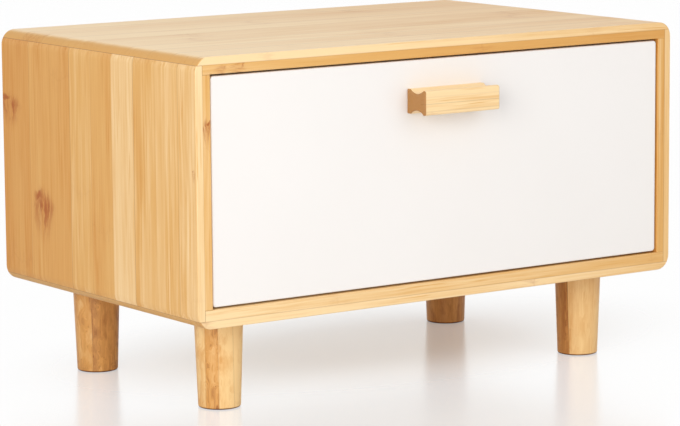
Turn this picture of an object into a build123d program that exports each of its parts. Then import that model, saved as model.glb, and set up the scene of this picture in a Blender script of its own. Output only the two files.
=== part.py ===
"""Bread box with one drawer: a bamboo case on four turned legs, with a white inset front.

Millimetres. X runs along the front, from left to right, Y from the front to the back and Z up.
The origin is on the floor, under the middle of the whole box with its handle.
"""

from build123d import *
from math import atan, degrees
import os

os.makedirs("parts", exist_ok=True)

# ---------------------------------------------------------------- driving dimensions

# Case, of boards glued up from two bamboo layers
case_width = 350.0
case_depth = 220.0
case_height = 155.0
board = 10.0  # thickness of the top and side boards
base_thickness = 11.0  # thickness of the base board, which the legs screw into
face_layer = 4.6  # outer layer of each board, where the corner joints step
case_rounding = 9.0  # radius of the four long edges
arris = 0.4  # easing of the front and rear edges

# Back panel, let into a groove round the inside of the case
panel_thickness = 4.0
panel_groove_depth = 5.0
panel_inset = 6.0  # from the rear edges to the back of the groove
panel_side_play = 0.1  # each side of the panel in its groove
panel_edge_play = 0.3  # between the panel's edges and the bottom of the groove
vent_diameter = 8.0
vent_easing = 0.5
vent_pitch = 28.0
vent_count = 5
vent_drop = 34.0  # from the top of the case to the row of vents

# Legs, tapered and screwed on from below
leg_height = 55.0
leg_top_diameter = 29.0
leg_foot_diameter = 25.0
leg_foot_rounding = 1.2
leg_inset_side = 40.0  # from the outside of the case to the leg's axis
leg_inset_end = 41.0  # from the front and the rear to the leg's axis

# Hanger bolts in the legs and threaded inserts in the base board
bolt_diameter = 6.0
bolt_in_leg = 26.0
bolt_in_insert = 7.0
insert_diameter = 10.0
insert_length = 8.5
insert_flange_diameter = 13.0
insert_flange = 1.0
bolt_point = 0.8  # chamfer at both ends of a bolt
metal_play = 0.05  # round a bolt, an insert or a screw in its hole
hole_bottom_play = 0.3  # between the end of a fastener and the bottom of its hole

# Drawer front, lacquered, inset in the opening
front_thickness = 12.0
front_recess = 1.0  # behind the front edges of the case
front_gap_side = 0.8
front_gap_top = 1.2
front_gap_bottom = 1.1
front_corner = 2.0  # radius of its four corners
front_easing = 0.8  # radius of the edges round its face
front_back_easing = 0.4  # chamfer of the edges round its back

# Drawer box
drawer_board = 10.0  # sides and back
drawer_edge_rounding = 1.6  # along the top edges of the sides and back
drawer_edge_easing = 0.5  # along their bottom edges
drawer_play = 1.0  # between a drawer side and the case
drawer_lift = 2.0  # from the base board to the underside of the drawer
drawer_headroom = 12.0  # from the drawer sides up to the top board
drawer_rear_gap = 2.5  # from the drawer to the back panel
bottom_thickness = 4.0
bottom_groove_depth = 4.0
bottom_height = 6.0  # from the underside of the sides to the groove
bottom_side_play = 0.1
bottom_edge_play = 0.3
dowel_diameter = 6.0
dowel_in_front = 8.0
dowel_in_side_end = 16.0
dowel_in_side_face = 6.0
dowel_in_back = 14.0
dowel_play = 0.05
dowel_point = 0.8  # chamfer at both ends of a dowel
dowel_edge = 28.0  # from the top and bottom edges of the sides to the dowels
drawer_travel = 150.0

# Runners, screwed to the case sides, in grooves along the drawer sides
runner_height = 8.0
runner_reach = 6.0  # how far a runner stands out from the case side
runner_easing = 0.8  # chamfer round a runner's inner face
runner_play = 0.3  # above, below and in front of a runner
groove_bottom_play = 0.4  # between a runner and the bottom of its groove
runner_rear_gap = 2.0  # from a runner to the back panel
runner_level = 60.0  # from the underside of the drawer side to the runner's middle
runner_screw_count = 3
runner_screw_margin = 22.0  # from a runner's ends to its outer screws
screw_diameter = 3.0
screw_length = 13.0
screw_head_diameter = 6.0
screw_head_height = 1.8

# Handle, with finger grooves above and below
handle_length = 55.0
handle_height = 14.5
handle_reach = 18.0  # how far it stands out from the drawer front
handle_drop = 16.5  # from the top of the drawer front to the top of the handle
handle_front_rounding = 1.4
handle_lip_rounding = 0.7
handle_end_easing = 0.6
finger_groove_radius = 9.4
finger_groove_depth = 2.3
finger_groove_setback = 9.3  # from the drawer front to the groove's middle
handle_screw_spacing = 32.0
handle_screw_diameter = 4.0
handle_screw_bite = 12.0  # length in the handle
handle_screw_play = 0.15
handle_screw_head_diameter = 8.0
handle_screw_head_height = 2.4

# ---------------------------------------------------------------- places that follow from them

half_width = case_width / 2
handle_overhang = handle_reach - front_recess
front_y = (handle_overhang - case_depth) / 2
rear_y = front_y + case_depth
case_bottom = leg_height
case_top = case_bottom + case_height
case_middle = case_bottom + case_height / 2
floor_z = case_bottom + base_thickness  # top of the base board
ceiling_z = case_top - board  # underside of the top board
inner_half = half_width - board

groove_rear_y = rear_y - panel_inset
groove_width = panel_thickness + 2 * panel_side_play
groove_front_y = groove_rear_y - groove_width
panel_front_y = groove_front_y + panel_side_play

face_y = front_y + front_recess
front_back_y = face_y + front_thickness
front_bottom_z = floor_z + front_gap_bottom
front_top_z = ceiling_z - front_gap_top

drawer_outer = inner_half - drawer_play
drawer_inner = drawer_outer - drawer_board
drawer_rear_y = panel_front_y - drawer_rear_gap
drawer_back_y = drawer_rear_y - drawer_board
drawer_bottom_z = floor_z + drawer_lift
drawer_top_z = ceiling_z - drawer_headroom
bottom_z = drawer_bottom_z + bottom_height
dowel_levels = (drawer_bottom_z + dowel_edge, drawer_top_z - dowel_edge)
side_middle_x = drawer_outer - drawer_board / 2

runner_z = drawer_bottom_z + runner_level
runner_inner = inner_half - runner_reach
runner_front_y = front_back_y + runner_play
runner_rear_y = panel_front_y - runner_rear_gap
side_groove_depth = drawer_outer - runner_inner + groove_bottom_play

handle_z = front_top_z - handle_drop - handle_height / 2

leg_x = half_width - leg_inset_side
leg_spots = {
    "front_left_leg": (-leg_x, front_y + leg_inset_end),
    "front_right_leg": (leg_x, front_y + leg_inset_end),
    "back_left_leg": (-leg_x, rear_y - leg_inset_end),
    "back_right_leg": (leg_x, rear_y - leg_inset_end),
}

front_plane = Plane.XZ.offset(-front_y)  # the front edges of the case
rear_plane = Plane.XZ.offset(-rear_y)
left_to_right = Plane.YZ  # the drawer and the case are alike on both sides of it


def write(builder, name):
    """Labels a finished piece and writes it to its own file."""
    builder.part.label = name
    export_step(builder.part, f"parts/{name}.step")


def spaced(low, high, count):
    """Evenly spaced values from low to high."""
    return [low + (high - low) * i / (count - 1) for i in range(count)]


# ---------------------------------------------------------------- case

# The outside of the glued-up case: long edges rounded, front and rear edges eased.
with BuildPart() as case_outside:
    with BuildSketch(front_plane):
        with Locations((0, case_middle)):
            RectangleRounded(case_width, case_height, case_rounding)
    extrude(amount=-case_depth)
    end_faces = case_outside.faces().filter_by(Axis.Y)
    chamfer(end_faces.edges(), arris)
    for end_plane, into_case in ((front_plane, -arris), (rear_plane, arris)):
        with BuildSketch(end_plane):
            with Locations((0, (floor_z + ceiling_z) / 2)):
                Rectangle(2 * (inner_half + arris), ceiling_z - floor_z + 2 * arris)
        extrude(amount=into_case, taper=45, mode=Mode.SUBTRACT)

# The groove that holds the back panel, cut in all four boards.
with BuildPart() as panel_groove:
    with BuildSketch(Plane.XZ.offset(-groove_front_y)):
        with Locations((0, (floor_z + ceiling_z) / 2)):
            Rectangle(
                2 * (inner_half + panel_groove_depth),
                ceiling_z - floor_z + 2 * panel_groove_depth,
            )
    extrude(amount=-groove_width)

# Each corner is a stepped joint: the outer layer of the top or base board runs across the
# side board, and its inner layer stops against the side board's outer layer.
with BuildPart() as top_board:
    with BuildSketch(front_plane):
        with Locations((0, case_top)):
            Rectangle(case_width, face_layer, align=(Align.CENTER, Align.MAX))
        with Locations((0, ceiling_z)):
            Rectangle(
                case_width - 2 * face_layer,
                board - face_layer,
                align=(Align.CENTER, Align.MIN),
            )
    extrude(amount=-case_depth)
    add(case_outside.part, mode=Mode.INTERSECT)
    add(panel_groove.part, mode=Mode.SUBTRACT)
write(top_board, "top_board")

# The base board has a blind, counterbored hole for each leg's threaded insert.
with BuildPart() as base_board:
    with BuildSketch(front_plane):
        with Locations((0, case_bottom)):
            Rectangle(case_width, face_layer, align=(Align.CENTER, Align.MIN))
        with Locations((0, floor_z)):
            Rectangle(
                case_width - 2 * face_layer,
                base_thickness - face_layer,
                align=(Align.CENTER, Align.MAX),
            )
    extrude(amount=-case_depth)
    add(case_outside.part, mode=Mode.INTERSECT)
    add(panel_groove.part, mode=Mode.SUBTRACT)
    with BuildSketch(Plane.XY.offset(case_bottom)):
        with Locations(*leg_spots.values()):
            Circle(insert_flange_diameter / 2 + metal_play)
    extrude(amount=insert_flange, mode=Mode.SUBTRACT)
    with BuildSketch(Plane.XY.offset(case_bottom)):
        with Locations(*leg_spots.values()):
            Circle(insert_diameter / 2 + metal_play)
    extrude(amount=insert_length + hole_bottom_play, mode=Mode.SUBTRACT)
write(base_board, "base_board")

runner_screw_ys = spaced(
    runner_front_y + runner_screw_margin,
    runner_rear_y - runner_screw_margin,
    runner_screw_count,
)
runner_screw_spots = [(y, runner_z) for y in runner_screw_ys]
screw_hole_depth = screw_length - runner_reach + hole_bottom_play
screw_head_slope = (screw_head_diameter - screw_diameter) / 2 / screw_head_height
screw_head_angle = 2 * degrees(atan(screw_head_slope))

with BuildPart() as left_side_board:
    with BuildSketch(front_plane):
        with Locations((-half_width, case_bottom + face_layer)):
            Rectangle(
                face_layer, case_height - 2 * face_layer, align=(Align.MIN, Align.MIN)
            )
        with Locations((-inner_half, floor_z)):
            Rectangle(
                board - face_layer, ceiling_z - floor_z, align=(Align.MAX, Align.MIN)
            )
    extrude(amount=-case_depth)
    add(case_outside.part, mode=Mode.INTERSECT)
    add(panel_groove.part, mode=Mode.SUBTRACT)
    with BuildSketch(Plane.YZ.offset(-inner_half)):
        with Locations(*runner_screw_spots):
            Circle(screw_diameter / 2 + metal_play)
    extrude(amount=-screw_hole_depth, mode=Mode.SUBTRACT)
write(left_side_board, "left_side_board")

with BuildPart() as right_side_board:
    mirror(left_side_board.part, about=left_to_right)
write(right_side_board, "right_side_board")

# A thin panel with a row of vents near the top.
with BuildPart() as back_panel:
    with BuildSketch(Plane.XZ.offset(-panel_front_y)):
        with Locations((0, (floor_z + ceiling_z) / 2)):
            Rectangle(
                2 * (inner_half + panel_groove_depth - panel_edge_play),
                ceiling_z - floor_z + 2 * (panel_groove_depth - panel_edge_play),
            )
        with Locations((0, case_top - vent_drop)):
            with GridLocations(vent_pitch, 0, vent_count, 1):
                Circle(vent_diameter / 2, mode=Mode.SUBTRACT)
    extrude(amount=-panel_thickness)
    chamfer(back_panel.edges().filter_by(GeomType.CIRCLE), vent_easing)
write(back_panel, "back_panel")

# ---------------------------------------------------------------- legs

# One leg stands on the origin: a plain taper with an eased foot, bored for its bolt.
with BuildPart() as leg:
    with BuildSketch(Plane.XZ):
        with BuildLine():
            Polyline(
                (0, 0),
                (leg_foot_diameter / 2, 0),
                (leg_top_diameter / 2, leg_height),
                (0, leg_height),
                close=True,
            )
        make_face()
    revolve(axis=Axis.Z)
    fillet(leg.edges().sort_by(Axis.Z)[0], leg_foot_rounding)
    with BuildSketch(Plane.XY.offset(leg_height)):
        Circle(bolt_diameter / 2 + metal_play)
    extrude(amount=-bolt_in_leg - hole_bottom_play, mode=Mode.SUBTRACT)

for name, spot in leg_spots.items():
    with BuildPart() as placed_leg:
        with Locations(spot):
            add(leg.part)
    write(placed_leg, name)

with BuildPart() as leg_hanger_bolts:
    with BuildSketch(Plane.XY.offset(case_bottom - bolt_in_leg)):
        with Locations(*leg_spots.values()):
            Circle(bolt_diameter / 2)
    extrude(amount=bolt_in_leg + bolt_in_insert)
    chamfer(leg_hanger_bolts.edges().filter_by(GeomType.CIRCLE), bolt_point)
write(leg_hanger_bolts, "leg_hanger_bolts")

# Flanged sleeves, flush with the underside of the base board.
with BuildPart() as leg_insert_nuts:
    with BuildSketch(Plane.XY.offset(case_bottom)):
        with Locations(*leg_spots.values()):
            Circle(insert_flange_diameter / 2)
    extrude(amount=insert_flange)
    with BuildSketch(Plane.XY.offset(case_bottom)):
        with Locations(*leg_spots.values()):
            Circle(insert_diameter / 2)
    extrude(amount=insert_length)
    with BuildSketch(Plane.XY.offset(case_bottom)):
        with Locations(*leg_spots.values()):
            Circle(bolt_diameter / 2 + metal_play)
    extrude(amount=insert_length, mode=Mode.SUBTRACT)
write(leg_insert_nuts, "leg_insert_nuts")

# ---------------------------------------------------------------- runners

# The drawer sides hang on these strips; their front ends stop the closing drawer.
with BuildPart() as left_runner:
    with BuildSketch(Plane.XZ.offset(-runner_front_y)):
        with Locations((-inner_half, runner_z)):
            Rectangle(runner_reach, runner_height, align=(Align.MIN, Align.CENTER))
    extrude(amount=runner_front_y - runner_rear_y)
    chamfer(left_runner.faces().sort_by(Axis.X)[-1].edges(), runner_easing)
    with Locations(Plane.YZ.offset(-runner_inner)):
        with Locations(*runner_screw_spots):
            CounterSinkHole(
                radius=screw_diameter / 2 + metal_play,
                counter_sink_radius=screw_head_diameter / 2 + metal_play,
                depth=runner_reach,
                counter_sink_angle=screw_head_angle,
            )
write(left_runner, "left_runner")

with BuildPart() as right_runner:
    mirror(left_runner.part, about=left_to_right)
write(right_runner, "right_runner")

# One countersunk wood screw, its head in the plane z = 0 and its point at the top.
with BuildPart() as runner_screw:
    with BuildSketch(Plane.XZ):
        with BuildLine():
            Polyline(
                (0, 0),
                (screw_head_diameter / 2, 0),
                (screw_diameter / 2, screw_head_height),
                (screw_diameter / 2, screw_length - screw_diameter),
                (0, screw_length),
                close=True,
            )
        make_face()
    revolve(axis=Axis.Z)

with BuildPart() as runner_screws:
    for y in runner_screw_ys:
        with Locations(Location((-runner_inner, y, runner_z), (0, -90, 0))):
            add(runner_screw.part)
        with Locations(Location((runner_inner, y, runner_z), (0, 90, 0))):
            add(runner_screw.part)
write(runner_screws, "runner_screws")

# ---------------------------------------------------------------- drawer

front_middle_z = (front_bottom_z + front_top_z) / 2
bottom_slot_z = bottom_z - bottom_side_play
bottom_slot_width = bottom_thickness + 2 * bottom_side_play

# The space that the edges of the drawer's bottom take in the four boards round it.
with BuildPart() as bottom_slot:
    with BuildSketch(Plane.XY.offset(bottom_slot_z)):
        with Locations((0, (front_back_y + drawer_back_y) / 2)):
            Rectangle(
                2 * (drawer_inner + bottom_groove_depth),
                drawer_back_y - front_back_y + 2 * bottom_groove_depth,
            )
    extrude(amount=bottom_slot_width)

handle_screw_spots = [
    (-handle_screw_spacing / 2, handle_z),
    (handle_screw_spacing / 2, handle_z),
]
front_dowel_spots = [
    (x, z) for x in (-side_middle_x, side_middle_x) for z in dowel_levels
]

# The white front: rounded corners, eased face, and a slot for the bottom at the back.
with BuildPart() as drawer_front:
    with BuildSketch(Plane.XZ.offset(-face_y)):
        with Locations((0, front_middle_z)):
            RectangleRounded(
                2 * (inner_half - front_gap_side),
                front_top_z - front_bottom_z,
                front_corner,
            )
    extrude(amount=-front_thickness)
    fillet(drawer_front.faces().sort_by(Axis.Y)[0].edges(), front_easing)
    chamfer(drawer_front.faces().sort_by(Axis.Y)[-1].edges(), front_back_easing)
    add(bottom_slot.part, mode=Mode.SUBTRACT)
    with BuildSketch(Plane.XZ.offset(-face_y)):
        with Locations(*handle_screw_spots):
            Circle(handle_screw_diameter / 2 + handle_screw_play)
    extrude(amount=-front_thickness, mode=Mode.SUBTRACT)
    with BuildSketch(Plane.XZ.offset(-front_back_y)):
        with Locations(*front_dowel_spots):
            Circle(dowel_diameter / 2 + dowel_play)
    extrude(amount=dowel_in_front + hole_bottom_play, mode=Mode.SUBTRACT)
write(drawer_front, "drawer_front")

back_dowel_y = (drawer_back_y + drawer_rear_y) / 2
back_dowel_spots = [(back_dowel_y, z) for z in dowel_levels]

# Each side has a groove outside for its runner and one inside for the bottom.
with BuildPart() as drawer_left_side:
    with BuildSketch(Plane.XZ.offset(-front_back_y)):
        with Locations((-drawer_outer, drawer_bottom_z)):
            Rectangle(
                drawer_board,
                drawer_top_z - drawer_bottom_z,
                align=(Align.MIN, Align.MIN),
            )
        with Locations((-drawer_outer, runner_z)):
            Rectangle(
                side_groove_depth,
                runner_height + 2 * runner_play,
                align=(Align.MIN, Align.CENTER),
                mode=Mode.SUBTRACT,
            )
    extrude(amount=front_back_y - drawer_rear_y)
    long_edges = drawer_left_side.edges().filter_by(Axis.Y).group_by(Axis.Z)
    fillet(long_edges[-1], drawer_edge_rounding)
    chamfer(long_edges[0], drawer_edge_easing)
    add(bottom_slot.part, mode=Mode.SUBTRACT)
    with BuildSketch(Plane.XZ.offset(-front_back_y)):
        with Locations(*[(-side_middle_x, z) for z in dowel_levels]):
            Circle(dowel_diameter / 2 + dowel_play)
    extrude(amount=-dowel_in_side_end - hole_bottom_play, mode=Mode.SUBTRACT)
    with BuildSketch(Plane.YZ.offset(-drawer_inner)):
        with Locations(*back_dowel_spots):
            Circle(dowel_diameter / 2 + dowel_play)
    extrude(amount=-dowel_in_side_face - hole_bottom_play, mode=Mode.SUBTRACT)
write(drawer_left_side, "drawer_left_side")

with BuildPart() as drawer_right_side:
    mirror(drawer_left_side.part, about=left_to_right)
write(drawer_right_side, "drawer_right_side")

with BuildPart() as drawer_back:
    with BuildSketch(Plane.XZ.offset(-drawer_back_y)):
        with Locations((0, drawer_bottom_z)):
            Rectangle(
                2 * drawer_inner,
                drawer_top_z - drawer_bottom_z,
                align=(Align.CENTER, Align.MIN),
            )
    extrude(amount=-drawer_board)
    long_edges = drawer_back.edges().filter_by(Axis.X).group_by(Axis.Z)
    fillet(long_edges[-1], drawer_edge_rounding)
    chamfer(long_edges[0], drawer_edge_easing)
    add(bottom_slot.part, mode=Mode.SUBTRACT)
    for end_x, inwards in ((-drawer_inner, 1), (drawer_inner, -1)):
        with BuildSketch(Plane.YZ.offset(end_x)):
            with Locations(*back_dowel_spots):
                Circle(dowel_diameter / 2 + dowel_play)
        extrude(
            amount=inwards * (dowel_in_back + hole_bottom_play), mode=Mode.SUBTRACT
        )
write(drawer_back, "drawer_back")

with BuildPart() as drawer_bottom:
    with BuildSketch(Plane.XY.offset(bottom_z)):
        with Locations((0, (front_back_y + drawer_back_y) / 2)):
            Rectangle(
                2 * (drawer_inner + bottom_groove_depth - bottom_edge_play),
                drawer_back_y
                - front_back_y
                + 2 * (bottom_groove_depth - bottom_edge_play),
            )
    extrude(amount=bottom_thickness)
write(drawer_bottom, "drawer_bottom")

with BuildPart() as drawer_front_dowels:
    with BuildSketch(Plane.XZ.offset(-front_back_y + dowel_in_front)):
        with Locations(*front_dowel_spots):
            Circle(dowel_diameter / 2)
    extrude(amount=-dowel_in_front - dowel_in_side_end)
    chamfer(drawer_front_dowels.edges().filter_by(GeomType.CIRCLE), dowel_point)
write(drawer_front_dowels, "drawer_front_dowels")

with BuildPart() as drawer_back_dowels:
    for start_x, inwards in (
        (-drawer_inner - dowel_in_side_face, 1),
        (drawer_inner + dowel_in_side_face, -1),
    ):
        with BuildSketch(Plane.YZ.offset(start_x)):
            with Locations(*back_dowel_spots):
                Circle(dowel_diameter / 2)
        extrude(amount=inwards * (dowel_in_side_face + dowel_in_back))
    chamfer(drawer_back_dowels.edges().filter_by(GeomType.CIRCLE), dowel_point)
write(drawer_back_dowels, "drawer_back_dowels")

# ---------------------------------------------------------------- handle

groove_centre_y = face_y - finger_groove_setback
groove_centre_rise = handle_height / 2 + finger_groove_radius - finger_groove_depth

# A bar with a flat front; a round finger groove runs along its top and its underside.
with BuildPart() as handle:
    with BuildSketch(Plane.YZ.offset(-handle_length / 2)) as handle_section:
        with Locations((face_y, handle_z)):
            Rectangle(
                handle_reach, handle_height, align=(Align.MAX, Align.CENTER)
            )
        with Locations(
            (groove_centre_y, handle_z + groove_centre_rise),
            (groove_centre_y, handle_z - groove_centre_rise),
        ):
            Circle(finger_groove_radius, mode=Mode.SUBTRACT)
        section_corners = handle_section.vertices().group_by(Axis.X)
        fillet(section_corners[0], handle_front_rounding)
        fillet(section_corners[1] + section_corners[2], handle_lip_rounding)
    extrude(amount=handle_length)
    end_faces = handle.faces().filter_by(Axis.X)
    chamfer(end_faces.edges(), handle_end_easing)
    with BuildSketch(Plane.XZ.offset(-face_y)):
        with Locations(*handle_screw_spots):
            Circle(handle_screw_diameter / 2 + metal_play)
    extrude(amount=handle_screw_bite + hole_bottom_play, mode=Mode.SUBTRACT)
write(handle, "handle")

# Two round-headed screws from inside the drawer, through the front into the handle.
with BuildPart() as handle_screws:
    with BuildSketch(Plane.XZ.offset(-front_back_y)):
        with Locations(*handle_screw_spots):
            Circle(handle_screw_head_diameter / 2)
    extrude(amount=-handle_screw_head_height)
    head_rims = handle_screws.faces().filter_by(Axis.Y).sort_by(Axis.Y)[-2:].edges()
    fillet(head_rims, handle_screw_head_height / 2)
    with BuildSketch(Plane.XZ.offset(-front_back_y)):
        with Locations(*handle_screw_spots):
            Circle(handle_screw_diameter / 2)
    extrude(amount=front_thickness + handle_screw_bite)
write(handle_screws, "handle_screws")

held_length = drawer_rear_y - drawer_travel - runner_front_y
print(f"length of the drawer sides on the runners at full travel: {held_length:.1f} mm")
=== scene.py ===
"""A bread box on four legs: a bamboo case with one drawer behind a white lacquered front.

Metres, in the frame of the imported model: X along the front, Y from front to back, Z up.
"""

import bpy
import numpy as np
from mathutils import Matrix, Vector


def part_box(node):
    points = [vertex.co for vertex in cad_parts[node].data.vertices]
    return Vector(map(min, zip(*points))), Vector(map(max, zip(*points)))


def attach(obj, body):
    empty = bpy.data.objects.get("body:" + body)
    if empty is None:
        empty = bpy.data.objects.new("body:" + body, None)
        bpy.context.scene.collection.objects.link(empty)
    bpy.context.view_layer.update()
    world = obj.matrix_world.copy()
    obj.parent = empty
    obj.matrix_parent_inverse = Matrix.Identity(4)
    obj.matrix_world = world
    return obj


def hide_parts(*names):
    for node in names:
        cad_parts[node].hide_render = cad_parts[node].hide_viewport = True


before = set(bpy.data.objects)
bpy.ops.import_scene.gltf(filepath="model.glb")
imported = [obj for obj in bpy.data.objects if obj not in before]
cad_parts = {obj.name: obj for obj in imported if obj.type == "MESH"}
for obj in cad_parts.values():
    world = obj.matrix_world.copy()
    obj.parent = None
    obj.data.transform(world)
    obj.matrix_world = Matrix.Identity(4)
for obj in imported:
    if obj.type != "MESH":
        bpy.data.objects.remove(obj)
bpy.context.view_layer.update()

# ---------------------------------------------------------------- case boards
# Four boards, each glued up from two layers of flat bamboo strips and satin lacquered. The outer
# layer is paler. At the corners the layers are stepped and glued, and the long edges rounded.


class Field:
    """A number that varies over a surface, worked out by Math nodes; it takes +, -, * and /."""

    def __init__(self, tree, socket):
        self.tree, self.socket = tree, socket

    def __add__(self, other):
        return calc(self.tree, "ADD", self, other)

    def __sub__(self, other):
        return calc(self.tree, "SUBTRACT", self, other)

    def __rsub__(self, other):
        return calc(self.tree, "SUBTRACT", other, self)

    def __mul__(self, other):
        return calc(self.tree, "MULTIPLY", self, other)

    def __truediv__(self, other):
        return calc(self.tree, "DIVIDE", self, other)

    __radd__, __rmul__ = __add__, __mul__


def feed(tree, socket, value):
    """Links a Field or a socket to an input, or writes a plain value into it."""
    if isinstance(value, Field):
        value = value.socket
    if isinstance(value, bpy.types.NodeSocket):
        tree.links.new(value, socket)
    elif value is not None:
        socket.default_value = value


def add_node(tree, kind, inputs=(), **settings):
    """One node; inputs is a list in socket order or a dictionary by socket name."""
    node = tree.nodes.new("ShaderNode" + kind)
    for name, value in settings.items():
        setattr(node, name, value)
    pairs = inputs.items() if isinstance(inputs, dict) else enumerate(inputs)
    for key, value in pairs:
        feed(tree, node.inputs[key], value)
    return node


def calc(tree, operation, *values, clamp=False):
    """One Math node on Fields, sockets or plain numbers; clamp keeps the result from 0 to 1."""
    node = add_node(tree, "Math", values, operation=operation, use_clamp=clamp)
    return Field(tree, node.outputs[0])


def ramp(value, low, high, smooth=True):
    """0 at low and 1 at high, with a smooth or straight rise between them."""
    kind = "SMOOTHSTEP" if smooth else "LINEAR"
    inputs = {"Value": value, "From Min": low, "From Max": high}
    node = add_node(value.tree, "MapRange", inputs, interpolation_type=kind)
    return Field(value.tree, node.outputs[0])


def noise(tree, axes, scales, detail=2.0, roughness=0.55):
    """Smooth noise from 0 to 1, stretched along each axis by its own scale, in cells per metre."""
    parts = [axis * scale for axis, scale in zip(axes, scales)]
    vector = add_node(tree, "CombineXYZ", parts).outputs[0]
    inputs = {"Vector": vector, "Scale": 1.0, "Detail": detail, "Roughness": roughness}
    return Field(tree, add_node(tree, "TexNoise", inputs).outputs[0])


def blend(tree, share, first, second):
    """Two colours mixed by a share from 0 to 1."""
    node = add_node(tree, "Mix", data_type="RGBA", blend_type="MIX")
    for index, value in ((0, share), (6, first), (7, second)):
        feed(tree, node.inputs[index], value)
    return node.outputs[2]


def new_group(name, inputs, outputs):
    """An empty shader group with named sockets; gives its tree, its input sockets and its exit."""
    group = bpy.data.node_groups.new(name, "ShaderNodeTree")
    for title, default in inputs.items():
        kind = "NodeSocketColor" if isinstance(default, tuple) else "NodeSocketFloat"
        group.interface.new_socket(title, in_out="INPUT", socket_type=kind).default_value = default
    for title, kind in outputs.items():
        group.interface.new_socket(title, in_out="OUTPUT", socket_type=kind)
    entry = group.nodes.new("NodeGroupInput")
    leave = group.nodes.new("NodeGroupOutput")
    fields = {title: Field(group, entry.outputs[title]) for title in inputs}
    return group, fields, leave


def srgb(red, green, blue):
    """A colour given as it looks on a screen, 0 to 255, as the linear colour that shaders take."""
    screen = np.array([red, green, blue]) / 255
    linear = np.where(screen <= 0.04045, screen / 12.92, ((screen + 0.055) / 1.055) ** 2.4)
    return (*(float(v) for v in linear), 1.0)


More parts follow.
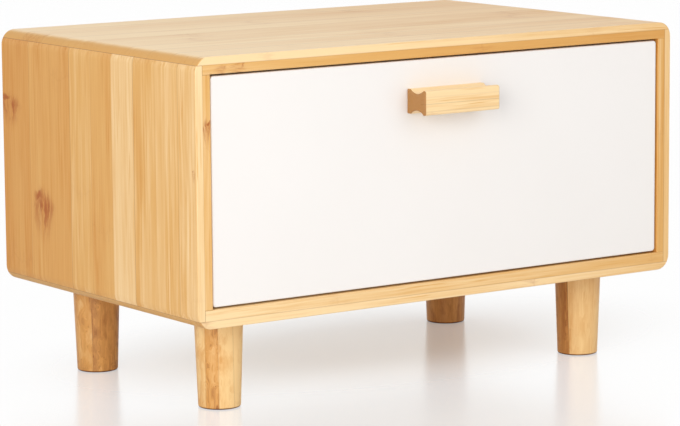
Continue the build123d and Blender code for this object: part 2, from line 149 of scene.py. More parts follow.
def make_bamboo_group():
    """Laminated bamboo.

    Across the grain the wood is cut into strips by the whole part of Across / Strip Width, and
    into layers by the whole part of Through / Layer Depth. White noise of the strip's number
    gives it a tone, a shift along the grain and the places of its knuckles. Noise stretched along
    the grain draws the fibres. Dark lines lie where strips and layers meet.
    """
    tree, given, leave = new_group(
        "laminated_bamboo",
        {
            "Along": 0.0, "Across": 0.0, "Through": 0.0, "End Grain": 0.0,
            "Strip Width": 0.024, "Strip Start": 0.0, "Layer Depth": 0.0046, "Last Layer": 1.0,
            "Seed": 0.0, "Tone": 0.35, "Tone Drift": 0.0, "Strip Contrast": 0.3,
            "Fibre Contrast": 1.0, "Layer Tone": 0.3, "Mottle": 0.0, "End Tone": 0.55,
            "End Brown": 0.1, "Glue": 0.5, "Knuckles": 0.5, "Knots": 0.0, "Joints": 0.0,
            "Edge Grain": 0.0, "Edge Tone": 0.0, "Pale": srgb(240, 205, 150),
            "Golden": srgb(225, 175, 110), "Deep": srgb(205, 150, 90),
            "Stain": srgb(160, 88, 34), "Brown": srgb(120, 72, 32),
        },
        {"Color": "NodeSocketColor", "Roughness": "NodeSocketFloat", "Height": "NodeSocketFloat"},
    )
    along, across, through = given["Along"], given["Across"], given["Through"]

    def one(operation, *values):
        return calc(tree, operation, *values)

    layer_stagger, layer_numbers = 0.37, 31.0  # how each layer's strips differ from the last's
    layers = through / given["Layer Depth"]
    layer = one("MINIMUM", one("MAXIMUM", one("FLOOR", layers), 0.0), given["Last Layer"])
    strips = (across - given["Strip Start"]) / given["Strip Width"] + layer * layer_stagger
    strip = one("FLOOR", strips)
    inside = strips - strip
    number = strip + layer * layer_numbers + given["Seed"]
    chance = add_node(tree, "TexWhiteNoise", noise_dimensions="1D")
    feed(tree, chance.inputs["W"], number)
    draws = add_node(tree, "SeparateColor", [chance.outputs["Color"]])
    shade, shift, place = (Field(tree, socket) for socket in draws.outputs)

    # Fibres: broad bands, streaks and fine threads, each strip shifted along its own length.
    # Mottle bends them into the flames of a knuckle that was cut lengthwise.
    run = along + shift * 3.0
    sway = noise(tree, (run, across, through), (55.0, 110.0, 110.0), detail=2.0) - 0.5
    drift = noise(tree, (run, across, through), (8.0, 34.0, 34.0), detail=1.0) - 0.5
    side = across + drift * 0.003 + sway * given["Mottle"] * 0.012
    depth = through + sway * given["Mottle"] * 0.009
    lane = (run, side, depth)
    broad = noise(tree, lane, (6.0, 65.0, 65.0), detail=2.0)
    streak = noise(tree, lane, (11.0, 400.0, 400.0), detail=3.0, roughness=0.6)
    thread = noise(tree, lane, (30.0, 1300.0, 1300.0), detail=2.0)
    dashes = ramp(noise(tree, lane, (20.0, 760.0, 760.0), 2.0), 0.60, 0.74)
    liveliness = ramp(noise(tree, lane, (6.0, 60.0, 60.0), 1.0), 0.35, 0.65) * 0.9 + 0.35

    # Knuckles: a bent ring across the strip, flecked on both sides, once in about 24 cm.
    spacing = 0.24
    turns = along / spacing + place
    bow = one("COSINE", (inside - 0.5) * 4.0) * 0.0035
    waver = noise(tree, (run, across, through), (20.0, 300.0, 300.0)) * 0.006
    reach = one("ABSOLUTE", (turns - one("FLOOR", turns) - 0.5) * spacing + bow + waver - 0.006)
    flecks = ramp(noise(tree, (run, across, through), (95.0, 620.0, 620.0), 3.0), 0.42, 0.70)
    ring = (1.0 - ramp(reach, 0.0, 0.0014)) * 0.55
    halo = (1.0 - ramp(reach, 0.0, 0.012)) * flecks
    knuckle = one("MAXIMUM", ring, halo) * given["Knuckles"] * (shade * 0.7 + 0.3)

    # Glue lines between strips, some plain and some hardly there, and between layers.
    edge = one("MINIMUM", inside, 1.0 - inside) * given["Strip Width"]
    seam_number = one("ROUND", strips) + layer * layer_numbers + given["Seed"] + 0.5
    seam_chance = add_node(tree, "TexWhiteNoise", noise_dimensions="1D")
    feed(tree, seam_chance.inputs["W"], seam_number)
    seam_share = one("POWER", Field(tree, seam_chance.outputs["Value"]), 2.0)
    seam = (1.0 - ramp(edge, 0.0001, 0.0006)) * seam_share * given["Glue"]
    bound = one("MINIMUM", one("MAXIMUM", one("ROUND", layers), 1.0), given["Last Layer"])
    layer_edge = one("ABSOLUTE", layers - bound) * given["Layer Depth"]
    lamination = (1.0 - ramp(layer_edge, 0.0001, 0.0004)) * given["Glue"] * 0.5
    side_grain = 1.0 - given["End Grain"] * 0.8
    lines = one("MAXIMUM", one("MAXIMUM", seam, lamination) * side_grain, given["Joints"])

    fibre = (streak - 0.5) * 0.85 * liveliness + (thread - 0.5) * 0.3 + (broad - 0.5) * 0.5
    fibre = fibre * side_grain
    tone = (shade - 0.5) * given["Strip Contrast"] * side_grain + fibre * given["Fibre Contrast"]
    tone = tone + given["Tone"] + along * given["Tone Drift"] * side_grain
    tone = tone + sway * given["Mottle"] * 0.8
    tone = tone + layer * given["Layer Tone"] * side_grain
    tone = tone + given["Edge Grain"] * given["Edge Tone"]
    tone = tone + dashes * given["Fibre Contrast"] * liveliness * 0.3
    tone = calc(tree, "ADD", tone, given["End Grain"] * given["End Tone"], clamp=True)
    colour = blend(tree, ramp(tone, 0.0, 0.5, False), given["Pale"], given["Golden"])
    colour = blend(tree, ramp(tone, 0.5, 1.0, False), colour, given["Deep"])
    colour = blend(tree, given["End Grain"] * given["End Brown"], colour, given["Brown"])
    stain = calc(tree, "ADD", knuckle * 0.8, given["Knots"], clamp=True)
    colour = blend(tree, stain * 0.9, colour, given["Stain"])
    colour = blend(tree, lines * 0.72, colour, given["Brown"])

    height = (thread - 0.5) * 0.4 + (streak - 0.5) * 0.2 * side_grain - dashes * 0.2 - lines
    rough = 0.40 + (streak - 0.5) * 0.12 + stain * 0.08 + given["End Grain"] * 0.15
    for title, value in (("Color", colour), ("Roughness", rough), ("Height", height)):
        feed(tree, leave.inputs[title], value)
    return tree


bamboo_group = make_bamboo_group()


def make_knot_group():
    """The scar of a knuckle: a short dark ring, and below it wavy lines drawn out to a drop.

    Along is counted in half lengths and Across in half widths. The lines are noise of the
    distance across divided by a width that shrinks on the way down, so they run together. The
    scar fades where the distances along and across, the upward one counted nearly twice, add up
    to 1.
    """
    tree, given, leave = new_group(
        "knot",
        {
            "Along": 0.0, "Across": 0.0, "Along Middle": 0.0, "Across Middle": 0.0,
            "Half Length": 0.016, "Half Width": 0.008, "Strength": 0.8,
        },
        {"Mask": "NodeSocketFloat"},
    )

    def one(operation, *values):
        return calc(tree, operation, *values)

    far = (given["Along"] - given["Along Middle"]) / given["Half Length"]
    side = (given["Across"] - given["Across Middle"]) / given["Half Width"]
    seed = given["Along Middle"] * 900.0
    bend = noise(tree, (far, side, seed), (1.9, 1.2, 1.0), detail=3.0) - 0.5
    side = side + bend * 0.7
    spread = one("ABSOLUTE", side)
    reach = one("MAXIMUM", far * 1.7, far * -1.0)
    body = 1.0 - ramp(reach + spread * spread * 0.7, 0.0, 1.0)
    angle = side / (one("MAXIMUM", far + 1.0, 0.0) * 0.42 + 0.3)
    streaks = ramp(noise(tree, (far, angle, seed), (1.1, 3.4, 1.0), 3.0, 0.6), 0.46, 0.60)
    rim = (1.0 - ramp(one("ABSOLUTE", one("ABSOLUTE", angle) - 0.85), 0.05, 0.35)) * body
    ring_gap = one("ABSOLUTE", far + bend * 0.6 - 0.22)
    ring = (1.0 - ramp(ring_gap, 0.03, 0.14)) * (1.0 - ramp(spread, 0.5, 1.0))
    ring = ring * ramp(angle, -0.3, 0.4)
    mask = one("MAXIMUM", body * (streaks * 0.75 + 0.25), one("MAXIMUM", rim * 0.8, ring))
    mask = mask * given["Strength"]
    feed(tree, leave.inputs["Mask"], mask)
    return tree


knot_group = make_knot_group()


def make_joint_group():
    """A glue line: 1 on the plane where Coordinate is Place, falling to 0 at Half Width."""
    tree, given, leave = new_group(
        "joint_line",
        {"Coordinate": 0.0, "Place": 0.0, "Half Width": 0.0003},
        {"Mask": "NodeSocketFloat"},
    )
    gap = calc(tree, "ABSOLUTE", given["Coordinate"] - given["Place"])
    share = gap / given["Half Width"]
    feed(tree, leave.inputs["Mask"], 1.0 - ramp(share, 0.4, 1.0))
    return tree


joint_group = make_joint_group()


def use_group(tree, group, **values):
    """Places a group; an underscore in a value's name stands for a space."""
    node = add_node(tree, "Group", node_tree=group)
    for name, value in values.items():
        feed(tree, node.inputs[name.replace("_", " ")], value)
    return node


def start_material(name):
    """A new material; gives it, its tree and its Principled shader."""
    material = bpy.data.materials.new(name)
    material.use_nodes = True
    tree = material.node_tree
    return material, tree, tree.nodes["Principled BSDF"]


def surface_axes(tree, centre=(0.0, 0.0, 0.0), turn=0.0):
    """The object's x, y and z, counted from centre and turned about Z, and its normal's parts."""
    coordinates = add_node(tree, "TexCoord")
    mapping = add_node(tree, "Mapping", [coordinates.outputs["Object"]], vector_type="TEXTURE")
    mapping.inputs["Location"].default_value = centre
    mapping.inputs["Rotation"].default_value = (0.0, 0.0, turn)
    place = add_node(tree, "SeparateXYZ", [mapping.outputs[0]])
    facing = add_node(tree, "SeparateXYZ", [coordinates.outputs["Normal"]])
    return (
        [Field(tree, socket) for socket in place.outputs],
        [Field(tree, socket) for socket in facing.outputs],
    )


def make_bamboo(name, grain, across, through, face=0.0, inwards=1.0, knots=(), joints=(),
                centre=(0.0, 0.0, 0.0), turn=0.0, bump=0.35, ends_from=0.1, **values):
    """A bamboo material.

    grain, across and through are axis numbers; through is counted from face, inwards. knots are
    (along, axis number across, place across, half length, half width, strength, 1 for the inner
    layer's or 0 for the outer layer's), and joints (axis number, place, strength, 1 or 0
    likewise). End grain starts to show where the surface leans by ends_from along the grain.
    """
    material, tree, shader = start_material(name)
    places, facing = surface_axes(tree, centre, turn)
    depth = (places[through] - face) * inwards
    soft = 0.0001
    inner = ramp(depth, face_layer - soft, face_layer + soft)
    stains = glue = None
    for middle_along, side, middle_across, half_length, half_width, strength, is_inner in knots:
        node = use_group(tree, knot_group, Along=places[grain], Across=places[side],
                         Along_Middle=middle_along, Across_Middle=middle_across,
                         Half_Length=half_length, Half_Width=half_width, Strength=strength)
        mask = Field(tree, node.outputs[0]) * (inner if is_inner else 1.0 - inner)
        stains = mask if stains is None else calc(tree, "MAXIMUM", stains, mask)
    for axis, place, strength, is_inner in joints:
        node = use_group(tree, joint_group, Coordinate=places[axis], Place=place)
        mask = Field(tree, node.outputs[0]) * (inner if is_inner else 1.0 - inner)
        mask = mask * strength
        glue = mask if glue is None else calc(tree, "MAXIMUM", glue, mask)
    ends = ramp(calc(tree, "ABSOLUTE", facing[grain]), ends_from, ends_from + 0.5)
    edges = ramp(calc(tree, "ABSOLUTE", facing[across]), 0.5, 0.95)
    wood = use_group(tree, bamboo_group, Along=places[grain], Across=places[across],
                     Through=depth, End_Grain=ends, Edge_Grain=edges, Knots=stains,
                     Joints=glue, **values)
    feed(tree, shader.inputs["Base Color"], wood.outputs["Color"])
    feed(tree, shader.inputs["Roughness"], wood.outputs["Roughness"])
    shader.inputs["Specular IOR Level"].default_value = 0.5
    relief = add_node(tree, "Bump", {"Strength": bump, "Distance": 0.00015,
                                     "Height": wood.outputs["Height"]})
    feed(tree, shader.inputs["Normal"], relief.outputs[0])
    return material


def dress(node_name, material):
    """Gives a carried-over node its material."""
    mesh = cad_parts[node_name].data
    mesh.materials.clear()
    mesh.materials.append(material)


X, Y, Z = 0, 1, 2
top_low, top_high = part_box("top_board")
base_low, base_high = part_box("base_board")
left_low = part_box("left_side_board")[0]
face_layer = 0.0046  # thickness of the outer layer
half_width = -left_low.x
step_x = half_width - face_layer  # where the layers step at each corner
strip_width = 0.024
first_strip = -0.0105  # where a strip of the side boards starts
front_joint = -0.0345  # a glue line in the left side, near the front
turned_ends = 0.45  # the side boards' rounding leans less than this, so it stays side grain

case_colours = dict(Pale=srgb(254, 221, 168), Golden=srgb(229, 175, 98),
                    Deep=srgb(209, 135, 42), Stain=srgb(172, 84, 6), Brown=srgb(126, 66, 24))
boards = dict(Strip_Width=strip_width, Layer_Depth=face_layer, Last_Layer=1.0, **case_colours)

top_joints = ((X, -step_x, 1.0, 1), (X, step_x, 0.5, 1))


def side_joints(strength):
    """The glue lines of a side board with the top and the base, in both layers."""
    return tuple((Z, place, strength, layer) for place, layer in (
        (top_high.z - face_layer, 0), (base_low.z + face_layer, 0), (top_low.z, 1),
        (base_high.z, 1)))


dress("top_board", make_bamboo(
    "case_bamboo_top", grain=X, across=Y, through=Z, face=top_high.z, inwards=-1.0,
    joints=top_joints, Seed=3.0, Tone=0.17, Tone_Drift=0.9, Strip_Contrast=0.18,
    Fibre_Contrast=0.7, Layer_Tone=0.35, Edge_Tone=0.0, Glue=0.6, End_Tone=0.38,
    knots=((-0.146, Z, 0.2026, 0.012, 0.0034, 0.6, 1),
           (-0.157, Z, 0.2024, 0.009, 0.0030, 0.5, 1)), **boards))
dress("base_board", make_bamboo(
    "case_bamboo_base", grain=X, across=Y, through=Z, face=base_low.z,
    joints=top_joints, Seed=11.0, Tone=0.0, Tone_Drift=1.1, Strip_Contrast=0.2,
    Layer_Tone=0.32, Glue=0.7, End_Tone=0.45, End_Brown=0.15, **boards))
# The strips that Seed 262.74 draws run from pale at the front to deep at the back: partly the
# wood's own tone, partly painted light, a glare towards the front fading to the back.
dress("left_side_board", make_bamboo(
    "case_bamboo_left", grain=Z, across=Y, through=X, face=left_low.x,
    ends_from=turned_ends, joints=side_joints(1.0) + ((Y, front_joint, 0.55, 0),),
    Seed=262.74, Strip_Start=first_strip, Tone=0.52, Strip_Contrast=0.66,
    Layer_Tone=-0.02, Edge_Tone=-0.2, Glue=0.4, Knuckles=0.25,
    knots=((0.106, Y, 0.0705, 0.028, 0.014, 1.0, 0), (0.165, Y, 0.109, 0.018, 0.013, 1.0, 0),
           (0.144, Y, -0.0985, 0.007, 0.002, 0.6, 0), (0.170, X, -0.1680, 0.013, 0.0034, 1.0, 1)),
    **boards))
dress("right_side_board", make_bamboo(
    "case_bamboo_right", grain=Z, across=Y, through=X, face=half_width, inwards=-1.0,
    ends_from=turned_ends, joints=side_joints(0.4), Seed=33.0, Strip_Start=first_strip,
    Tone=0.48, Strip_Contrast=0.4, Layer_Tone=0.42, Edge_Tone=-0.2, Glue=0.7, **boards))

# ---------------------------------------------------------------- back panel
# A thin bamboo sheet let into a groove round the inside of the case, with a row of five bored
# vents near its top. Its strips are narrow and run from side to side.

sheet = dict(Strip_Width=0.0145, Layer_Depth=0.0014, Last_Layer=3.0, Strip_Contrast=0.32,
             Layer_Tone=0.05, Glue=0.45, **case_colours)
dress("back_panel", make_bamboo(
    "panel_bamboo", grain=X, across=Z, through=Y, face=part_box("back_panel")[0].y, Seed=51.0,
    **sheet))

# ---------------------------------------------------------------- legs
# Turned, tapered legs cut from blocks of two or three thick layers. Each is screwed in at its own
# angle, so the layers show differently on every leg, mottled where a knuckle was cut through.

leg_colours = dict(Pale=srgb(250, 212, 150), Golden=srgb(222, 162, 88),
                   Deep=srgb(158, 94, 42), Stain=srgb(140, 72, 26), Brown=srgb(104, 56, 24))
# The back legs are given deeper tones than the front ones: partly the wood's own tone, partly
# painted shade of their place under the case.
for name, seed, turn, first_face, layer_depth, last_layer, tone, contrast, mottle in (
    ("front_left_leg", 347.0, 3.93, -0.0216, 0.0080, 4.0, 0.27, 0.45, 1.5),
    ("front_right_leg", 126.0, 0.0, -0.0170, 0.0112, 2.0, 0.33, 1.0, 0.5),
    ("back_left_leg", 205.0, 3.94, -0.0150, 0.0150, 1.0, 0.56, 0.4, 1.2),
    ("back_right_leg", 352.0, 0.5, -0.0150, 0.0150, 1.0, 0.6, 0.5, 0.5),
):
    low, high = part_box(name)
    middle = ((low.x + high.x) / 2, (low.y + high.y) / 2, 0.0)
    dress(name, make_bamboo(
        name + "_bamboo", grain=Z, across=X, through=Y, face=first_face, centre=middle,
        turn=turn, Seed=seed, Strip_Width=0.2, Strip_Start=-0.0245, Layer_Depth=layer_depth,
        Last_Layer=last_layer, Tone=tone, Strip_Contrast=contrast, Layer_Tone=0.0,
        # End_Brown 1.0 browns the legs' rounded feet: their end grain, and also painted shade for
        # the dark line where each foot meets the floor.
        Mottle=mottle, Glue=0.35, Knuckles=0.5, End_Brown=1.0, **leg_colours))

# ---------------------------------------------------------------- leg bolts and inserts
# Zinc-plated hanger bolts: a wood thread that is screwed into the leg, and a machine thread that
# turns into a flanged insert let into the base board.


def make_metal(name, colour, roughness):
    """Plated metal: cloudy in colour and gloss, with faint turning marks in its bump."""
    material, tree, shader = start_material(name)
    places, _ = surface_axes(tree)
    clouds = noise(tree, places, (420.0, 420.0, 420.0), detail=3.0)
    marks = noise(tree, places, (2600.0, 2600.0, 2600.0), detail=1.0)
    dark = tuple(channel * 0.72 for channel in colour[:3]) + (1.0,)
    feed(tree, shader.inputs["Base Color"], blend(tree, ramp(clouds, 0.3, 0.7), colour, dark))
    feed(tree, shader.inputs["Roughness"], roughness + (clouds - 0.5) * 0.25)
    shader.inputs["Metallic"].default_value = 1.0
    relief = add_node(tree, "Bump", {"Strength": 0.2, "Distance": 0.00003, "Height": marks})
    feed(tree, shader.inputs["Normal"], relief.outputs[0])
    return material


def turned_shape(outline, step, thread=(), flutes=(0, 0.0), recess=(), columns=96):
    """A screw, bolt or dowel along +Z as rows of points, the outer ones drawn in to poles.

    outline is the plain half section, pairs of height and radius, cut into rows about a step
    apart. A thread is (start, end, pitch, depth, share): the radius loses depth except on a
    ridge, where height / pitch less the turn is near a half, and the ridge takes that share of
    the pitch. Flutes (count, depth) press the radius in once per count. A recess (depth, half
    width, half length) is a cross sunk into the first face, sloping up along its arms.
    """
    corners = np.array(outline, float)
    run = np.concatenate([[0.0], np.cumsum(np.linalg.norm(np.diff(corners, axis=0), axis=1))])
    places = np.union1d(run, np.linspace(0.0, run[-1], int(np.ceil(run[-1] / step)) + 1))
    height = np.interp(places, run, corners[:, 0])[:, None]
    radius = np.interp(places, run, corners[:, 1])[:, None]
    turn = np.linspace(0.0, 2 * np.pi, columns, endpoint=False)[None, :]
    widest = np.full_like(turn, 1.0) * radius
    raised = np.full_like(turn, 1.0) * height
    for start, end, pitch, depth, share in thread:
        phase = (height / pitch - turn / (2 * np.pi)) % 1.0
        ridge = np.clip(1.0 - np.abs(phase - 0.5) * 2 / share, 0.0, 1.0)
        window = np.clip((height - start) / pitch, 0, 1) * np.clip((end - height) / pitch, 0, 1)
        widest -= depth * (1.0 - ridge) * window * radius / corners[:, 1].max()
    count, flute_depth = flutes
    if count:
        widest *= 1.0 - flute_depth / corners[:, 1].max() * (0.5 + 0.5 * np.cos(count * turn)) ** 3
    if recess:
        depth, half_arm, reach = recess
        across = np.abs(radius * np.cos(turn)), np.abs(radius * np.sin(turn))
        near, far = np.minimum(*across), np.maximum(*across)
        sunk = np.clip((half_arm - near) / (half_arm * 0.4), 0, 1)
        sunk *= np.clip((reach - far) / (reach * 0.55), 0, 1)
        raised += depth * sunk * (places[:, None] <= run[1])
    return np.stack([widest * np.cos(turn), widest * np.sin(turn), raised], axis=-1)


def add_turned(name, shape, placings, material, body, node_name):
    """One closed mesh of equal turned parts, each on its placing (start point, direction).

    The rows of the shape are joined by quads and its poles by triangles. The part's Z is laid
    along the direction by a frame of three unit vectors at right angles.
    """
    rows, columns = shape.shape[:2]
    column = np.arange(columns)
    after = (column + 1) % columns
    band = 1 + np.arange(rows - 3)[:, None] * columns
    quads = np.stack([band + column, band + after, band + columns + after,
                      band + columns + column], axis=-1).reshape(-1, 4)
    last_pole, last_ring = 1 + (rows - 2) * columns, 1 + (rows - 3) * columns
    caps = np.concatenate([
        np.stack([np.zeros_like(column), 1 + after, 1 + column], axis=-1),
        np.stack([np.full_like(column, last_pole), last_ring + column, last_ring + after],
                 axis=-1),
    ])
    local = np.concatenate([shape[:1, 0], shape[1:-1].reshape(-1, 3), shape[-1:, 0]])
    points, faces = [], []
    for start, direction in placings:
        ahead = np.array(direction, float)
        side = np.cross(ahead, (0.3, 0.5, 0.8))
        side /= np.linalg.norm(side)
        turned = local @ np.stack([side, np.cross(ahead, side), ahead]) + np.array(start)
        shift = len(points) * len(local)
        points.append(turned)
        faces += (quads + shift).tolist() + (caps + shift).tolist()
    mesh = bpy.data.meshes.new(name)
    mesh.from_pydata(np.concatenate(points).tolist(), [], faces)
    mesh.polygons.foreach_set("use_smooth", np.ones(len(faces), bool))
    mesh.materials.append(material)
    piece = bpy.data.objects.new(name, mesh)
    bpy.context.scene.collection.objects.link(piece)
    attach(piece, body)
    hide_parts(node_name)


zinc_steel = make_metal("zinc_steel", srgb(206, 208, 210), 0.34)
bolt_low, bolt_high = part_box("leg_hanger_bolts")
bolt_length, bolt_radius, bolt_point = bolt_high.z - bolt_low.z, 0.003, 0.0008
wood_thread_end, machine_thread_start = 0.019, 0.023
bolt_shape = turned_shape(
    [(0.0, 0.0), (0.0, bolt_radius - bolt_point), (bolt_point, bolt_radius),
     (bolt_length - bolt_point, bolt_radius), (bolt_length, bolt_radius - bolt_point),
     (bolt_length, 0.0)],
    step=0.0002, columns=64,
    thread=[(0.0, wood_thread_end, 0.0024, 0.0009, 0.45),
            (machine_thread_start, bolt_length, 0.001, 0.0005, 0.95)])
add_turned(
    "hanger_bolts", bolt_shape,
    [((x, y, bolt_low.z), (0.0, 0.0, 1.0))
     for x in (bolt_low.x + bolt_radius, bolt_high.x - bolt_radius)
     for y in (bolt_low.y + bolt_radius, bolt_high.y - bolt_radius)],
    zinc_steel, "case", "leg_hanger_bolts")
dress("leg_insert_nuts", make_metal("zinc_insert", srgb(190, 184, 172), 0.42))

# ---------------------------------------------------------------- runners
# Two bamboo strips with eased inner edges, each held to its case side by three countersunk wood
# screws. The grooved drawer sides hang on them.

runner_wood = make_bamboo(
    "runner_bamboo", grain=Y, across=Z, through=X, Seed=81.0, Strip_Width=0.02,
    Layer_Depth=0.5, Strip_Contrast=0.2, Glue=0.0, **case_colours)
dress("left_runner", runner_wood)
dress("right_runner", runner_wood)

screws_low, screws_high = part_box("runner_screws")
screw_length, screw_radius, screw_head, head_height = 0.013, 0.0015, 0.003, 0.0018
screw_rim, screws_per_runner = 0.0001, 3
runner_screw_shape = turned_shape(
    [(0.0, 0.0), (0.0, screw_head - screw_rim), (screw_rim, screw_head),
     (head_height, screw_radius), (screw_length - 2 * screw_radius, screw_radius),
     (screw_length, 0.0)],
    step=0.00013, columns=80, recess=(0.0011, 0.0004, 0.0017),
    thread=[(head_height + 0.0015, screw_length, 0.0012, 0.0005, 0.5)])
screw_ys = np.linspace(screws_low.y + screw_head, screws_high.y - screw_head,
                       screws_per_runner)
add_turned(
    "runner_wood_screws", runner_screw_shape,
    [((side * (screws_high.x - screw_length), float(y), (screws_low.z + screws_high.z) / 2),
      (side, 0.0, 0.0)) for side in (-1.0, 1.0) for y in screw_ys],
    zinc_steel, "case", "runner_screws")

# ---------------------------------------------------------------- drawer front
# An inset panel, sprayed with satin white lacquer on all sides. Its corners are rounded and the
# edges of its face eased, and it is dowelled to the drawer sides.


def make_lacquer(name):
    """Sprayed satin lacquer: nearly even in colour, with a faint orange-peel surface."""
    material, tree, shader = start_material(name)
    places, _ = surface_axes(tree)
    peel = noise(tree, places, (420.0, 420.0, 420.0), detail=2.0)
    drift = noise(tree, places, (9.0, 9.0, 9.0), detail=2.0)
    colour = blend(tree, drift, srgb(249, 245, 242), srgb(245, 241, 237))
    feed(tree, shader.inputs["Base Color"], colour)
    feed(tree, shader.inputs["Roughness"], 0.36 + (drift - 0.5) * 0.08)
    relief = add_node(tree, "Bump", {"Strength": 0.12, "Distance": 0.0001, "Height": peel})
    feed(tree, shader.inputs["Normal"], relief.outputs[0])
    return material


dress("drawer_front", make_lacquer("white_lacquer"))

# ---------------------------------------------------------------- drawer box
# Bamboo sides and back, joined by fluted dowels of paler wood, with a thin bamboo bottom let
# into grooves.

for name, across_axis, through_axis, grain_axis, seed in (
    ("drawer_left_side", Z, X, Y, 91.0), ("drawer_right_side", Z, X, Y, 94.0),
    ("drawer_back", Z, Y, X, 97.0),
):
    dress(name, make_bamboo(
        name + "_bamboo", grain=grain_axis, across=across_axis, through=through_axis,
        Seed=seed, Strip_Width=0.02, Layer_Depth=0.5, Strip_Contrast=0.3, Glue=0.5,
        **case_colours))
dress("drawer_bottom", make_bamboo(
    "drawer_bottom_bamboo", grain=X, across=Y, through=Z, face=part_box("drawer_bottom")[0].z,
    Seed=55.0, **sheet))

dowel_wood = make_bamboo(
    "dowel_wood", grain=Y, across=X, through=Z, Seed=101.0, Strip_Width=0.05, Layer_Depth=0.5,
    Strip_Contrast=0.0, Glue=0.0, Knuckles=0.0, Pale=srgb(228, 196, 156),
    Golden=srgb(212, 174, 132), Deep=srgb(196, 152, 108), Brown=srgb(140, 96, 60))
dowel_radius, dowel_point, back_dowel_length = 0.003, 0.0008, 0.020


def dowel_shape(length):
    """A dowel with a chamfer at both ends and sixteen pressed flutes along it."""
    return turned_shape(
        [(0.0, 0.0), (0.0, dowel_radius - dowel_point), (dowel_point, dowel_radius),
         (length - dowel_point, dowel_radius), (length, dowel_radius - dowel_point),
         (length, 0.0)],
        step=0.001, flutes=(16, 0.0002), columns=96)


low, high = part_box("drawer_front_dowels")
add_turned(
    "front_dowel_pins", dowel_shape(high.y - low.y),
    [((x, low.y, z), (0.0, 1.0, 0.0)) for x in (low.x + dowel_radius, high.x - dowel_radius)
     for z in (low.z + dowel_radius, high.z - dowel_radius)],
    dowel_wood, "drawer", "drawer_front_dowels")
low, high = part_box("drawer_back_dowels")
add_turned(
    "back_dowel_pins", dowel_shape(back_dowel_length),
    [((side * high.x, (low.y + high.y) / 2, z), (-side, 0.0, 0.0)) for side in (-1.0, 1.0)
     for z in (low.z + dowel_radius, high.z - dowel_radius)],
    dowel_wood, "drawer", "drawer_back_dowels")

# ---------------------------------------------------------------- handle
# A bamboo bar with a finger groove along its top and underside, held by two round-headed machine
# screws that are put in from inside the drawer.

handle_front, handle_seam = -0.1185, 0.1745  # y of its face, z of the glue line along it
dress("handle", make_bamboo(
    "handle_bamboo", grain=X, across=Z, through=Y, face=handle_front, Seed=111.0,
    Strip_Width=0.0085, Layer_Depth=0.5, Tone=-0.04, Strip_Contrast=0.25, Fibre_Contrast=1.1,
    Glue=0.4, End_Brown=0.6, joints=((Z, handle_seam, 0.35, 0),), **case_colours))

screws_low, screws_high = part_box("handle_screws")
head_radius, shank_radius, dome = 0.004, 0.002, 0.0024
head_turn = np.linspace(0.0, np.pi / 2, 9)[::-1]
dome_corners = list(zip(dome / 2 * (1.0 - np.sin(head_turn)),
                        head_radius - dome / 2 * (1.0 - np.cos(head_turn))))
full_length = screws_high.y - screws_low.y
handle_screw_shape = turned_shape(
    [(0.0, 0.0), *dome_corners, (dome, head_radius), (dome, shank_radius),
     (full_length - 0.001, shank_radius), (full_length, shank_radius - 0.0008),
     (full_length, 0.0)],
    step=0.00016, columns=96, recess=(0.0014, 0.0005, 0.0022),
    thread=[(dome + 0.001, full_length, 0.0014, 0.0005, 0.6)])
add_turned(
    "handle_machine_screws", handle_screw_shape,
    [((x, screws_high.y, (screws_low.z + screws_high.z) / 2), (0.0, -1.0, 0.0))
     for x in (screws_low.x + head_radius, screws_high.x - head_radius)],
    zinc_steel, "drawer", "handle_screws")

# ---------------------------------------------------------------- floor, light and camera
# A wide pale table, softly glossy, under an even studio light that is strongest from the front
# and above. To the camera the table glows white, less so in an ellipse under the case, where it
# shows darker: painted shade, besides its rendered shadow. The camera stands to the left of the
# front, a little above the box, with a long lens.

floor_half = 9.0
floor_mesh = bpy.data.meshes.new("floor")
corners = [(-floor_half, -floor_half, 0), (floor_half, -floor_half, 0),
           (floor_half, floor_half, 0), (-floor_half, floor_half, 0)]
floor_mesh.from_pydata(corners, [], [(0, 1, 2, 3)])
floor = bpy.data.objects.new("floor", floor_mesh)
bpy.context.scene.collection.objects.link(floor)
floor_material, tree, shader = start_material("pale_table")
light_path = add_node(tree, "LightPath")
white, table_grey = (1.0, 1.0, 1.0, 1.0), (0.86, 0.855, 0.85, 1.0)
seen_white = blend(tree, light_path.outputs["Is Camera Ray"], table_grey, white)
feed(tree, shader.inputs["Base Color"], seen_white)
shader.inputs["Roughness"].default_value = 0.2
white_glow = add_node(tree, "Emission", {"Color": white, "Strength": 1.0})
gloss = add_node(tree, "BsdfGlossy", {"Color": white, "Roughness": 0.2})
mirrored = add_node(tree, "Fresnel", {"IOR": 1.4})
glossy_white = add_node(tree, "MixShader", [mirrored.outputs[0], white_glow.outputs[0],
                                            gloss.outputs[0]])
places, _ = surface_axes(tree)
# Painted shade: inside this ellipse under the case the table glows less to the camera, so it shows
# darker there, besides the shadow that is rendered.
painted_shade_middle, painted_shade_length, painted_shade_width = 0.05, 0.22, 0.13  # the floor's shadow under the case
away_x = (places[X] - painted_shade_middle) / painted_shade_length
away_y = (places[Y] - painted_shade_middle) / painted_shade_width
away = calc(tree, "SQRT", away_x * away_x + away_y * away_y)
# The camera sees the table glow white, 30 % of it near the case rising to 95 % far off; the weaker
# glow near the case is painted shade.
glow_share = Field(tree, light_path.outputs["Is Camera Ray"])
glow_share = glow_share * (ramp(away, 0.3, 1.25) * 0.65 + 0.3)
floor_mix = add_node(tree, "MixShader", [glow_share, shader.outputs[0],
                                         glossy_white.outputs[0]])
below = add_node(tree, "NewGeometry").outputs["Backfacing"]
clear = add_node(tree, "BsdfTransparent")
floor_surface = add_node(tree, "MixShader", [below, floor_mix.outputs[0], clear.outputs[0]])
feed(tree, tree.nodes["Material Output"].inputs["Surface"], floor_surface.outputs[0])
floor_mesh.materials.append(floor_material)

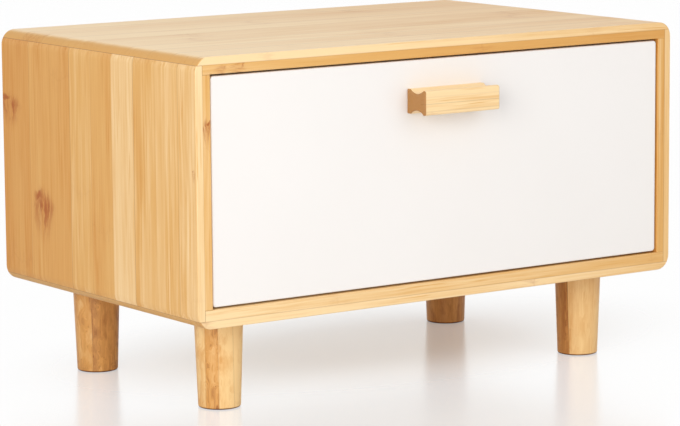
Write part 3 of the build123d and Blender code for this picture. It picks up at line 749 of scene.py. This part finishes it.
world = bpy.data.worlds.new("studio")
world.use_nodes = True
bpy.context.scene.world = world
tree = world.node_tree
background = tree.nodes["Background"]
light_path = add_node(tree, "LightPath")
seen = calc(tree, "MAXIMUM", light_path.outputs["Is Camera Ray"],
            light_path.outputs["Is Glossy Ray"])
seen = calc(tree, "MAXIMUM", seen, light_path.outputs["Is Transmission Ray"])
ambient = 0.68
feed(tree, background.inputs["Strength"], seen * (1.0 - ambient) + ambient)
background.inputs["Color"].default_value = white


def add_softbox(name, place, target, size, power):
    """A square area lamp at place, turned to face target."""
    lamp = bpy.data.lights.new(name, "AREA")
    lamp.size, lamp.energy = size, power
    lamp_object = bpy.data.objects.new(name, lamp)
    direction = np.array(place, float) - np.array(target, float)
    back = direction / np.linalg.norm(direction)
    right = np.cross((0.0, 0.0, 1.0), back)
    right /= np.linalg.norm(right)
    up = np.cross(back, right)
    turn = np.eye(4)
    turn[:3, 0], turn[:3, 1], turn[:3, 2], turn[:3, 3] = right, up, back, place
    lamp_object.matrix_world = Matrix(turn.tolist())
    bpy.context.scene.collection.objects.link(lamp_object)


add_softbox("front_softbox", (0.45, -2.4, 1.3), (0.0, 0.0, 0.1), 1.6, 10.5)
add_softbox("left_softbox", (-1.3, -1.0, 0.5), (-0.1, 0.0, 0.12), 0.8, 10.0)

azimuth, elevation, roll = np.radians([-35.19, 8.58, -0.42])
back = np.array([np.sin(azimuth) * np.cos(elevation), -np.cos(azimuth) * np.cos(elevation),
                 np.sin(elevation)])
right = np.cross(-back, (0.0, 0.0, 1.0))
right /= np.linalg.norm(right)
up = np.cross(right, -back)
placing = np.eye(4)
placing[:3, 0] = np.cos(roll) * right + np.sin(roll) * up
placing[:3, 1] = np.cos(roll) * up - np.sin(roll) * right
placing[:3, 2] = back
placing[:3, 3] = (-1.1346, -1.6016, 0.3904)  # fitted to the photograph's perspective
camera_data = bpy.data.cameras.new("camera")
camera_data.sensor_fit, camera_data.sensor_width, camera_data.lens = "HORIZONTAL", 36.0, 169.6
camera = bpy.data.objects.new("camera", camera_data)
camera.matrix_world = Matrix(placing.tolist())
bpy.context.scene.collection.objects.link(camera)
bpy.context.scene.camera = camera
bpy.context.scene.view_settings.view_transform = "Standard"
